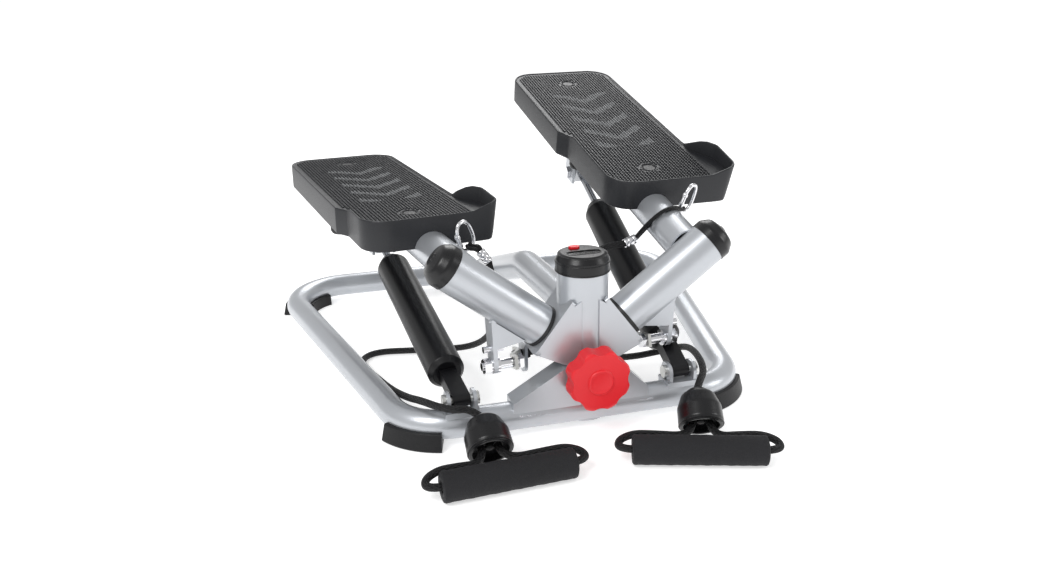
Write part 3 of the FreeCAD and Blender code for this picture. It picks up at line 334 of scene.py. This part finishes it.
GRIP_PLACES = {"left": handle_place(-95.8, -289.4, 3.1),
               "right": handle_place(62.8, -298.0, -18.2)}
BELLS = {"left": ((-103, -229.2, 34), (-103, -258.8, 17.3)),
         "right": ((86.4, -241, 37.1), (79.6, -266.2, 15.3))}
BELL_MOUTH = 28
BELL_AHEAD = 43
GRIP_HALF = 55.0
GRIP_RADIUS = 12.5


def bell_place(side):
    """Frame of a bell: Z from its top to its mouth; millimetres."""
    top, mouth = (Vector(p) for p in BELLS[side])
    axis = (mouth - top).normalized()
    turn = axis.to_track_quat("Z", "Y").to_matrix().to_4x4()
    return Matrix.Translation(top + ORIGIN) @ turn


def make_handle_cord(side):
    """The two halves of a grip's loop, from its bell round each end and into the foam."""
    place = GRIP_PLACES[side]
    mouth = place.inverted() @ (bell_place(side) @ Vector((0, 0, BELL_MOUTH)))
    ahead = place.inverted() @ (bell_place(side) @ Vector((0, 0, BELL_AHEAD)))
    half = GRIP_HALF
    for letter, end in (("a", -1), ("b", 1)):
        route = [(mouth.x + end * 7, mouth.y, mouth.z), (ahead.x + end * 8, ahead.y, ahead.z),
                 (end * 40, 16, 6), (end * (half - 1), 15.5, 6), (end * (half + 11), 10, 3),
                 (end * (half + 11), 1, 0), (end * (half - 6), 0, 0)]
        line = spline_points("handle_line", [place @ Vector(p) * MM for p in route])
        verts, faces, uvs = tube_mesh(line, lambda t: CORD_RADIUS)
        shown = piece("%s_handle_cord_%s" % (side, letter), verts, faces, CORD, "frame",
                      ["handle_cords"])
        lay_uvs(shown, uvs, BRAID_PER_METRE)


for name, _ in SIDES:
    make_handle_cord(name)


# ---------------------------------------------------------------- turned and swept details

def turned(name, profile, place, material, body, replaced=(), steps=48, closed=True):
    """Turned piece from (radius, height) points about a placement's Z; millimetres in."""
    verts = []
    faces = []
    rings = []
    for radius, height in profile:
        if radius < 1e-6:
            rings.append([len(verts)] * steps)
            verts.append(place @ Vector((0, 0, height)) * MM)
            continue
        rings.append(list(range(len(verts), len(verts) + steps)))
        for k in range(steps):
            angle = 2 * math.pi * k / steps
            spot = Vector((radius * math.cos(angle), radius * math.sin(angle), height))
            verts.append(place @ spot * MM)
    pairs = list(zip(rings, rings[1:]))
    if closed:
        pairs.append((rings[-1], rings[0]))
    for low, high in pairs:
        for k in range(steps):
            n = (k + 1) % steps
            corners = list(dict.fromkeys([low[k], low[n], high[n], high[k]]))
            if len(corners) > 2:
                faces.append(corners)
    return piece(name, verts, faces, material, body, replaced)


def ring(name, radius, thickness, place, material, body):
    circle = [place @ Vector((radius * math.cos(a), radius * math.sin(a), 0)) * MM
              for a in (2 * math.pi * k / 64 for k in range(64))]
    verts, faces, _ = tube_mesh(circle, lambda t: thickness * MM, 10, closed=True)
    return piece(name, verts, faces, material, body)


def bead(name, points, width, body):
    """Weld bead: a lumpy rope laid along a joint; points in millimetres."""
    line = []
    for a, b in zip(points, points[1:]):
        count = max(2, int((b - a).length / 0.7))
        line.extend(a.lerp(b, k / count) for k in range(count))
    line.append(points[-1])
    line = [p * MM for p in line]

    def thick(t):
        ripple = 0.14 * math.sin(len(line) * t * 1.9) + random.uniform(-0.05, 0.05)
        return width * MM * (0.5 + ripple * 0.5)

    verts, faces, _ = tube_mesh(line, thick, 10)
    return piece(name, verts, faces, SILVER, body)


def place_along(centre, axis, lean=Vector((0, 1, 0))):
    """Placement at a centre, Z along an axis; millimetres."""
    z = Vector(axis).normalized()
    x = lean.cross(z)
    x = x.normalized() if x.length > 1e-4 else z.orthogonal().normalized()
    y = z.cross(x)
    turn = Matrix((x, y, z)).transposed().to_4x4()
    return Matrix.Translation(Vector(centre)) @ turn


# ---------------------------------------------------------------- arms' own frames

TILT = math.radians(37.3)
ARM_SWING = math.radians(8)
POST_Y = -186.0
ROOT = Vector((0, POST_Y, 62.5))


def outward(side):
    return Vector((side * math.cos(TILT), 0, math.sin(TILT)))


def swing(side):
    """Rest pose of an arm, turned on its spindle."""
    turn = Matrix.Rotation(ARM_SWING, 4, outward(side))
    return Matrix.Translation(ORIGIN + ROOT) @ turn @ Matrix.Translation(-ROOT)


def pedal_place(side):
    turn = (Matrix.Rotation(math.radians(-side * 3.4), 4, "Z")
            @ Matrix.Rotation(math.radians(6.6), 4, "X"))
    return swing(side) @ Matrix.Translation(Vector((side * 117, -104, 180.6))) @ turn


def spindle_point(side, along, across=0.0, depth=0.0):
    """Point in an arm's sleeve frame, swung with the arm; millimetres."""
    slope = Vector((-side * math.sin(TILT), 0, math.cos(TILT)))
    return swing(side) @ (ROOT + outward(side) * along + slope * across + Vector((0, depth, 0)))


# ---------------------------------------------------------------- pedals

SKIRT = 25.0
SHELL = 3.5
BOLTS = (38.0, 282.0)
HOLE_SIDES = 28
JOGS = {"left": 74.0, "right": 133.0}
EAR_CREST = 52.0
EAR_REAR = 92.0
EAR_LEAN = 4.5


def smooth(low, high, value):
    t = min(1.0, max(0.0, (value - low) / (high - low)))
    return t * t * (3 - 2 * t)


def outline(jog):
    """Pedal outline: points with outward normals, anticlockwise."""
    corners = [(-53, 0, 26), (77, 0, 12), (77, 46, 12), (61, 74, 12), (61, 322, 26),
               (-61, 322, 26), (-61, jog + 8, 5), (-53, jog - 8, 5)]
    knots = []
    count = len(corners)
    for i, (x, y, radius) in enumerate(corners):
        here = Vector((x, y))
        back = (Vector(corners[i - 1][:2]) - here).normalized()
        ahead = (Vector(corners[(i + 1) % count][:2]) - here).normalized()
        half = back.angle(ahead) / 2
        run = radius / math.tan(half)
        middle = (back + ahead).normalized()
        centre = here + middle * radius / math.sin(half)
        start = here + back * run
        end = here + ahead * run
        knots.append((start, end, centre, radius))
    found = []
    for i, (start, end, centre, radius) in enumerate(knots):
        a, b = start - centre, end - centre
        turn = a.angle_signed(b)
        steps = 9
        convex = turn < 0
        for k in range(steps + 1):
            angle = -turn * k / steps
            spoke = Matrix.Rotation(angle, 2) @ a
            normal = spoke.normalized() * (1 if convex else -1)
            found.append((centre + spoke, normal))
        following = knots[(i + 1) % count][0]
        length = (following - end).length
        pieces = max(1, int(length / 7))
        normal = found[-1][1]
        for k in range(1, pieces):
            found.append((end.lerp(following, k / pieces), normal))
    return found


def lip_height(x, y, jog):
    """Height of the rim over the tread: low all round, higher in front, highest at the ear."""
    low = 0.9
    front = 4.2 * (1 - smooth(jog - 18, jog - 4, y)) if x < 0 else 4.2 * (1 - smooth(0, 30, y))
    ear = 12.5 + 2.5 * smooth(0, EAR_CREST, y)
    ear *= 1 - smooth(EAR_CREST + 2, EAR_REAR, y)
    ear *= smooth(30, 80, x) if y < 20 else 1.0 if x > 55 else 0.0
    return max(low, front, ear)


def inside(point, loop):
    hit = False
    for a, b in zip(loop, loop[1:] + loop[:1]):
        if (a.y > point.y) != (b.y > point.y):
            cross = a.x + (point.y - a.y) / (b.y - a.y) * (b.x - a.x)
            if point.x < cross:
                hit = not hit
    return hit


def make_pedal_shell(name, side):
    """Moulded shell of a pedal, open below, with a dished hole at each bolt."""
    jog = JOGS[name]
    shape = outline(jog)
    place = pedal_place(side)
    bm = bmesh.new()

    def ring_of(inset, level, lean=0.0):
        made = []
        for point, normal in shape:
            spot = point - normal * (inset + lean * smooth(61, 77, point.x))
            top = lip_height(point.x, point.y, jog)
            made.append(bm.verts.new(place @ Vector((spot.x, spot.y, level(top))) * MM))
        return made

    rings = [ring_of(SHELL, lambda top: -SHELL),
             ring_of(SHELL, lambda top: -SKIRT + 0.8, EAR_LEAN),
             ring_of(SHELL - 0.8, lambda top: -SKIRT, EAR_LEAN),
             ring_of(0.9, lambda top: -SKIRT, EAR_LEAN),
             ring_of(0.15, lambda top: -SKIRT + 0.7, EAR_LEAN),
             ring_of(0.0, lambda top: -SKIRT + 6, EAR_LEAN * 0.8),
             ring_of(0.0, lambda top: top - 1.6), ring_of(0.3, lambda top: top - 0.6),
             ring_of(0.8, lambda top: top), ring_of(1.5, lambda top: top),
             ring_of(2.0, lambda top: top - 0.4), ring_of(2.3, lambda top: max(0.15, top - 1.2)),
             ring_of(3.0, lambda top: 0.0)]
    count = len(shape)
    for low, high in zip(rings, rings[1:]):
        for i in range(count):
            j = (i + 1) % count
            bm.faces.new((low[i], low[j], high[j], high[i]))
    bm.faces.new(rings[0])
    edges = [bm.edges.get((rings[-1][i], rings[-1][(i + 1) % count])) for i in range(count)]
    for along in BOLTS:
        loops = []
        for radius, level in ((7.0, 0.0), (6.6, -0.4), (6.4, -1.9)):
            circle = [Vector((radius * math.cos(a), along + radius * math.sin(a), level))
                      for a in (2 * math.pi * k / HOLE_SIDES for k in range(HOLE_SIDES))]
            loops.append([bm.verts.new(place @ spot * MM) for spot in circle])
        for high, low in zip(loops, loops[1:]):
            for i in range(HOLE_SIDES):
                j = (i + 1) % HOLE_SIDES
                bm.faces.new((high[i], high[j], low[j], low[i]))
        bm.faces.new(loops[-1])
        edges.extend(bm.edges.get((loops[0][i], loops[0][(i + 1) % HOLE_SIDES]))
                     for i in range(HOLE_SIDES))
    bmesh.ops.triangle_fill(bm, use_beauty=True, use_dissolve=False, edges=edges)
    bmesh.ops.recalc_face_normals(bm, faces=bm.faces)
    mesh = bpy.data.meshes.new(name + "_pedal_shell")
    bm.to_mesh(mesh)
    bm.free()
    mesh.materials.append(TREAD)
    mesh.shade_smooth()
    mesh.set_sharp_from_angle(angle=math.radians(40))
    shown = bpy.data.objects.new(name + "_pedal_shell", mesh)
    bpy.context.scene.collection.objects.link(shown)
    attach(shown, name + "_arm")
    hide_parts(name + "_pedal")


RIB_PITCH = 3.3
ROW_PITCH = 3.45
BLOCK_RISE = 1.1
TREAD_MARGIN = 6.2
TREAD_RIGHT = 53.0
BOLT_CLEAR = 10.5


def chevron(x, y):
    """True on the bands of the plain chevron pattern in the middle of the tread."""
    return abs(x) < 30 and 92 < y < 246 and (y - abs(x) * 0.8) % 36 < 12


def make_tread(name, side):
    """Rows of small moulded blocks over the whole tread, clear of the rim and the bolts."""
    place = pedal_place(side)
    shape = outline(JOGS[name])
    limit = [point - normal * TREAD_MARGIN for point, normal in shape]
    verts, faces, marks = [], [], []
    for row in range(1, 94):
        y = 3 + row * ROW_PITCH
        for column in range(-18, 18):
            x = column * RIB_PITCH
            if x > TREAD_RIGHT or not inside(Vector((x, y)), limit):
                continue
            if any(math.hypot(x, y - along) < BOLT_CLEAR for along in BOLTS):
                continue
            base = len(verts)
            for half_x, half_y, z in ((1.15, 1.3, -0.1), (0.8, 0.95, BLOCK_RISE)):
                for sx, sy in ((-1, -1), (1, -1), (1, 1), (-1, 1)):
                    verts.append(place @ Vector((x + sx * half_x, y + sy * half_y, z)) * MM)
            faces.append((base + 4, base + 5, base + 6, base + 7))
            for k in range(4):
                n = (k + 1) % 4
                faces.append((base + k, base + n, base + 4 + n, base + 4 + k))
            marks.extend([1 if chevron(x, y) else 0] * 5)
    shown = piece(name + "_tread", verts, faces, TREAD, name + "_arm", smooth=False)
    shown.data.materials.append(TREAD_LIGHT)
    for face, mark in zip(shown.data.polygons, marks):
        face.material_index = mark


def make_ridges(name, side):
    """Two ridges beside the tread, and a rim round each bolt."""
    place = pedal_place(side)
    for number, x in enumerate((54.6, 57.4)):
        points = [place @ Vector((x, y, 0.1)) * MM for y in (84, 150, 220, 292)]
        verts, faces, _ = tube_mesh(points, lambda t: 0.55 * MM, 8)
        piece("%s_ridge_%d" % (name, number), verts, faces, TREAD, name + "_arm")
    for number, along in enumerate(BOLTS):
        ring("%s_bolt_rim_%d" % (name, number), 8.2, 0.6,
             place @ Matrix.Translation(Vector((0, along, 0.1))), TREAD, name + "_arm")


for name, side in SIDES:
    make_pedal_shell(name, side)
    make_tread(name, side)
    make_ridges(name, side)


# ---------------------------------------------------------------- handles

def make_grip(name):
    """Foam tube with a slightly uneven skin."""
    place = GRIP_PLACES[name] @ Matrix.Rotation(math.radians(90), 4, "Y")
    profile = [(4.6, -GRIP_HALF + 3), (5.0, -GRIP_HALF + 0.6), (6.5, -GRIP_HALF),
               (GRIP_RADIUS - 2.2, -GRIP_HALF), (GRIP_RADIUS - 0.6, -GRIP_HALF + 0.7),
               (GRIP_RADIUS, -GRIP_HALF + 2.2)]
    steps = 40
    for k in range(1, steps):
        z = -GRIP_HALF + 2.2 + (2 * GRIP_HALF - 4.4) * k / steps
        profile.append((GRIP_RADIUS - 0.12 - 0.12 * math.sin(k * 1.7 + len(name)), z))
    profile += [(r, -z) for r, z in reversed(profile[:6])]
    shown = turned(name + "_grip_foam", profile, place, FOAM, name + "_handle_grip",
                   [name + "_grip"], steps=56)
    for vertex in shown.data.vertices:
        wobble = 0.10 * math.sin(vertex.co.x * 310) * math.cos(vertex.co.z * 420 + vertex.co.y * 260)
        vertex.co += vertex.normal * wobble * MM


def make_bell_details(name):
    """What shows in a bell's mouth: floor, two cord holes and a knot; and its rim and collar."""
    place = bell_place(name)
    across = (GRIP_PLACES[name].to_3x3() @ Vector((1, 0, 0))).normalized()
    local = place.to_3x3().inverted() @ across
    local = Vector((local.x, local.y, 0)).normalized()
    profile = [(0, 27.2), (15.3, 27.2), (15.3, 25.5), (0, 25.5)]
    turned(name + "_bell_floor", profile, place, GLOSS, "frame")
    for number, offset in enumerate((-7.0, 7.0)):
        spot = local * offset + Vector((0, 0, 27.4))
        ring("%s_bell_hole_%d" % (name, number), 4.4, 0.8, place @ Matrix.Translation(spot),
             GLOSS, "frame")
    knot = [(0, 31.6), (2.2, 31.3), (3.5, 30.2), (3.8, 29), (3.2, 27.6), (0, 27.0)]
    turned(name + "_bell_knot", knot, place, CORD, "frame", steps=24)
    ring(name + "_bell_rim", 18.9, 0.7, place @ Matrix.Translation(Vector((0, 0, 32.4))), GLOSS,
         "frame")
    ring(name + "_bell_collar", 4.6, 1.1, place @ Matrix.Translation(Vector((0, 0, 0.3))), GLOSS,
         "frame")


for name, _ in SIDES:
    make_grip(name)
    make_bell_details(name)


# ---------------------------------------------------------------- snap links and ferrules

HOOKS = {"left": {"ferrule": (-74, -130, 142), "aim": (0.55, -0.25, -0.8),
                  "link": (-89, -120, 160), "bends": [(-80, -132, 152)]},
         "right": {"ferrule": (69, -124, 141), "aim": (-1, -0.15, -0.3),
                   "link": (125.3, -128, 178.5), "bends": [(81, -137, 160), (101, -143, 177)]}}
FERRULE_HALF = 6.5


def make_hook(name, side):
    """Crimped ferrule, snap link with its gate, and the cord's eye between them."""
    hook = HOOKS[name]
    axis = Vector(hook["aim"]).normalized()
    ferrule = place_along(Vector(hook["ferrule"]) + ORIGIN, axis, Vector((0, 0, 1)))
    body = name + "_arm"
    crimps = [(2.9, -6.5), (4.0, -6.5), (4.45, -5.6), (4.45, -3.4), (4.0, -2.6), (4.45, -1.8),
              (4.45, 1.8), (4.0, 2.6), (4.45, 3.4), (4.45, 5.6), (4.0, 6.5), (2.9, 6.5)]
    turned(name + "_ferrule", crimps, ferrule, CHROME, body, [name + "_cord_hook"])
    link_axis = Vector((0.3 * side, -0.2, 1)).normalized()
    lean = Vector((1, 0.6, 0))
    x = (lean - link_axis * lean.dot(link_axis)).normalized()
    y = link_axis.cross(x)
    turn = Matrix((x, y, link_axis)).transposed().to_4x4()
    place = Matrix.Translation(Vector(hook["link"]) + ORIGIN) @ turn
    loop = []
    for k in range(72):
        a = 2 * math.pi * k / 72
        wide = 8.6 - 1.3 * math.sin(a)
        squared = (abs(math.cos(a)) ** 2.6 + abs(math.sin(a)) ** 2.6) ** (-1 / 2.6)
        spot = Vector((wide * squared * math.cos(a), 0, 14 * squared * math.sin(a)))
        loop.append(place @ spot * MM)
    verts, faces, _ = tube_mesh(loop, lambda t: 1.75 * MM, 14, closed=True)
    piece(name + "_snap_link", verts, faces, CHROME, body, [name + "_cord_hook"])
    gate = place @ Matrix.Translation(Vector((-8.4, 0, -7)))
    barrel = [(0, 0), (2.3, 0), (2.6, 0.5), (2.6, 3), (2.1, 3.6), (2.1, 9), (2.6, 9.6),
              (2.6, 12), (2.2, 12.6), (0, 12.6)]
    turned(name + "_snap_gate", barrel, gate, CHROME, body, steps=24)
    low = place @ Vector((0, 0, -14))
    top = ferrule @ Vector((0, 0, -FERRULE_HALF))
    bends = [Vector(p) + ORIGIN for p in hook["bends"]]
    for number, shift in enumerate((-1.9, 1.9)):
        offset = x * shift
        strand = [top + offset * 0.6] + [bend + offset * 1.4 for bend in bends]
        strand += [low + offset + Vector((0, -2.6, 1.5)), low + offset + Vector((0, 1.5, 3.6))]
        line = spline_points("strand", [p * MM for p in strand])
        verts, faces, uvs = tube_mesh(line, lambda t: 1.9 * MM, 14)
        shown = piece("%s_cord_eye_%d" % (name, number), verts, faces, CORD, body)
        lay_uvs(shown, uvs, 200.0)


for name, side in SIDES:
    make_hook(name, side)


# ---------------------------------------------------------------- console, knob, caps

POST_TOP = 139.0
CAP_RINGS = ((21.3, 15.4, 0.45), (23.9, 1.0, 0.4), (23.9, 9.0, 0.35))


def make_console_details():
    """Rings on the console cap and the bezel round its display."""
    top = Vector((0, POST_Y, POST_TOP)) + ORIGIN
    for number, (radius, height, thick) in enumerate(CAP_RINGS):
        ring("console_ring_%d" % number, radius, thick,
             Matrix.Translation(top + Vector((0, 0, height))), GLOSS, "frame")
    frame_line = []
    for k in range(80):
        a = 2 * math.pi * k / 80
        squared = (abs(math.cos(a)) ** 4 + abs(math.sin(a)) ** 4) ** (-1 / 4)
        spot = Vector((15.4 * squared * math.cos(a), -4 + 5.4 * squared * math.sin(a), 17.0))
        frame_line.append((top + spot) * MM)
    verts, faces, _ = tube_mesh(frame_line, lambda t: 0.4 * MM, 8, closed=True)
    piece("console_bezel", verts, faces, GLOSS, "frame")


POST_RADIUS = 22.5
KNOB_GAP = 10.0
KNOB_DEPTH = 17.0
KNOB_Z = 54.0


def make_knob_details():
    """The raised boss in the middle of the knob's face."""
    centre = Vector((0, POST_Y - POST_RADIUS - KNOB_GAP - KNOB_DEPTH, KNOB_Z)) + ORIGIN
    face = place_along(centre, (0, -1, 0), Vector((0, 0, 1)))
    boss = [(0, -1), (11.5, -1), (11.5, 0.5), (10.8, 1.2), (9.6, 1.4), (8.6, 1.0), (7.8, 0.7), (0, 0.7)]
    turned("knob_boss", boss, face, RED, "knob", closed=False)


CAP_SEAT = 50.8 + 97


def make_cap_details(name, side):
    """The small moulded ring on a sleeve's end cap, and the seam behind it."""
    centre = spindle_point(side, CAP_SEAT + 17.9, 2.0, -2.0)
    place = place_along(centre, swing(side).to_3x3() @ outward(side))
    ring(name + "_cap_ring", 3.1, 0.5, place, GLOSS, name + "_arm")
    groove = place_along(spindle_point(side, CAP_SEAT + 0.2), swing(side).to_3x3() @ outward(side))
    ring(name + "_cap_seam", 19.3, 0.35, groove, GLOSS, name + "_arm")


make_console_details()
make_knob_details()
for name, side in SIDES:
    make_cap_details(name, side)


# ---------------------------------------------------------------- weld beads

def arc(centre, axis, radius, start, stop, steps=24):
    place = place_along(centre, axis, Vector((0, 0, 1)))
    return [place @ Vector((radius * math.cos(a), radius * math.sin(a), 0))
            for a in (math.radians(start + (stop - start) * k / steps) for k in range(steps + 1))]


BAR_Y = -202.0
BAR_Z = 17.5
BAR_RADIUS = 12.7


def make_welds():
    for number, (_, side) in enumerate(SIDES):
        near = Vector((side * 12, BAR_Y - 11, 19)) + ORIGIN
        far = Vector((side * 58 + (0 if side > 0 else -9), BAR_Y - 11, 21)) + ORIGIN
        bead("bar_weld_%d" % number, [near, far], 3.0, "frame")
        foot = Vector((side * 101.5 - 13.4, BAR_Y + 2, BAR_Z + BAR_RADIUS)) + ORIGIN
        for end in (-1, 1):
            corner = foot + Vector((end * 14.2, -11, -0.6))
            back = foot + Vector((end * 14.2, 11, -0.6))
            middle = foot + Vector((end * 14.2, 0, 0.6))
            bead("foot_weld_%d_%d" % (number, end + 1), [corner, middle, back], 2.4, "frame")
        slope = Vector((-side * math.sin(TILT), 0, math.cos(TILT)))
        root = ROOT + outward(side) * 43.2 + ORIGIN
        for edge in (-1, 1):
            low = root + slope * -18 + Vector((0, edge * 20.2, 0))
            high = root + slope * 30 + Vector((0, edge * 20.2, 0))
            bead("plate_weld_%d_%d" % (number, edge + 1), [low, high], 2.4, "frame")
    rear = Vector((0, -BAR_Y - 11.5, BAR_Z + 3)) + ORIGIN
    bead("spine_weld", arc(rear, (0, -0.95, 0.33), 15.4, 0, 180), 2.6, "frame")
    joint = Vector((0, POST_Y + 22.6, 97)) + ORIGIN
    bead("post_weld", arc(joint, (0, 1, 0), 15.5, 0, 360), 2.6, "frame")


def make_arm_welds(name, side):
    for number, along in enumerate((60.0, 88.0)):
        start = spindle_point(side, along, -19.2, -5.8)
        end = spindle_point(side, along + 6, -19.2, -5.8)
        bead("%s_lever_weld_%d" % (name, number), [start, end], 3.0, name + "_arm")
    start = spindle_point(side, 58, -18.7, -4.2)
    end = spindle_point(side, 91, -18.7, -4.2)
    bead(name + "_gusset_weld", [start, end], 2.4, name + "_arm")


make_welds()
for name, side in SIDES:
    make_arm_welds(name, side)


# ---------------------------------------------------------------- floor, light

def make_stage():
    mesh = bpy.data.meshes.new("Floor")
    reach = 30.0
    corners = [(-reach, -reach, 0), (reach, -reach, 0), (reach, reach, 0), (-reach, reach, 0)]
    mesh.from_pydata(corners, [], [(0, 1, 2, 3)])
    paper = surface("Floor_paper", (0.80, 0.80, 0.80), rough=0.8, tint=0.01, bump=0.0)
    shader = paper.node_tree.nodes["Principled BSDF"]
    shader.inputs["Emission Color"].default_value = (1, 1, 1, 1)
    shader.inputs["Emission Strength"].default_value = 0.54
    mesh.materials.append(paper)
    floor = bpy.data.objects.new("Floor", mesh)
    bpy.context.scene.collection.objects.link(floor)


def area_light(name, place, target, size, power):
    data = bpy.data.lights.new(name, "AREA")
    data.shape = "SQUARE"
    data.size = size
    data.energy = power
    lamp = bpy.data.objects.new(name, data)
    bpy.context.scene.collection.objects.link(lamp)
    lamp.location = place
    lamp.rotation_euler = (Vector(target) - Vector(place)).to_track_quat("-Z", "Y").to_euler()


LIT_POINT = (0, 0, 0.1)

make_stage()
area_light("Key", (-1.1, -0.9, 1.5), LIT_POINT, 0.8, 17)
area_light("Fill", (1.5, -0.8, 0.7), LIT_POINT, 0.6, 5)
area_light("Back", (0.5, 1.5, 1.3), LIT_POINT, 1.0, 12)
world = bpy.data.worlds.new("Studio")
world.use_nodes = True
world.node_tree.nodes["Background"].inputs["Color"].default_value = (1, 1, 1, 1)
world.node_tree.nodes["Background"].inputs["Strength"].default_value = 0.62
bpy.context.scene.world = world
bpy.context.scene.view_settings.view_transform = "Standard"
